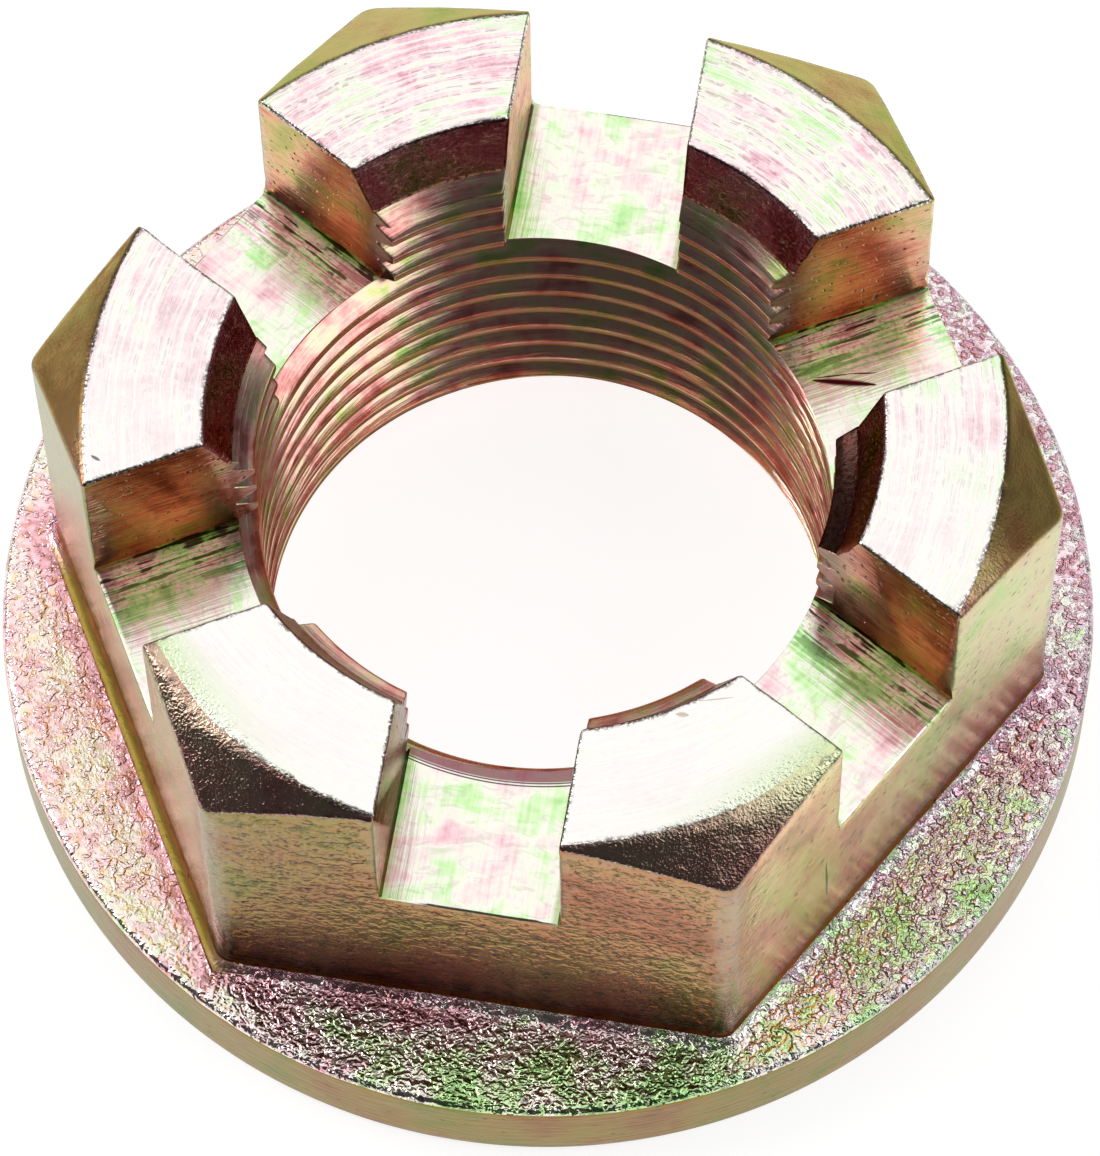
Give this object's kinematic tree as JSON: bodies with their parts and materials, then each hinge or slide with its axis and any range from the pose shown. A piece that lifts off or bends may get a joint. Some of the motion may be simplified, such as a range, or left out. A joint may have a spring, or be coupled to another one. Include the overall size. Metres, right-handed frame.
{
  "type": "axle nut",
  "caption": "Castellated hexagon nut with a round collar flange, slots for a split pin and a fine right-hand thread, in yellow-passivated zinc-plated steel.",
  "frame": {"origin": "centre of the flange's bearing face", "axes": "+Z along the thread's axis, from the bearing face to the castle end; the hexagon has corners on the X axis and flats across Y, with a slot in the middle of each flat"},
  "size_m": [0.044, 0.044, 0.021],
  "materials": {
    "zinc_chromate": "zinc plating with iridescent yellow passivation over forged, turned and milled steel"
  },
  "bodies": {
    "root": {"axle_nut": "zinc_chromate"}
  },
  "joints": []
}
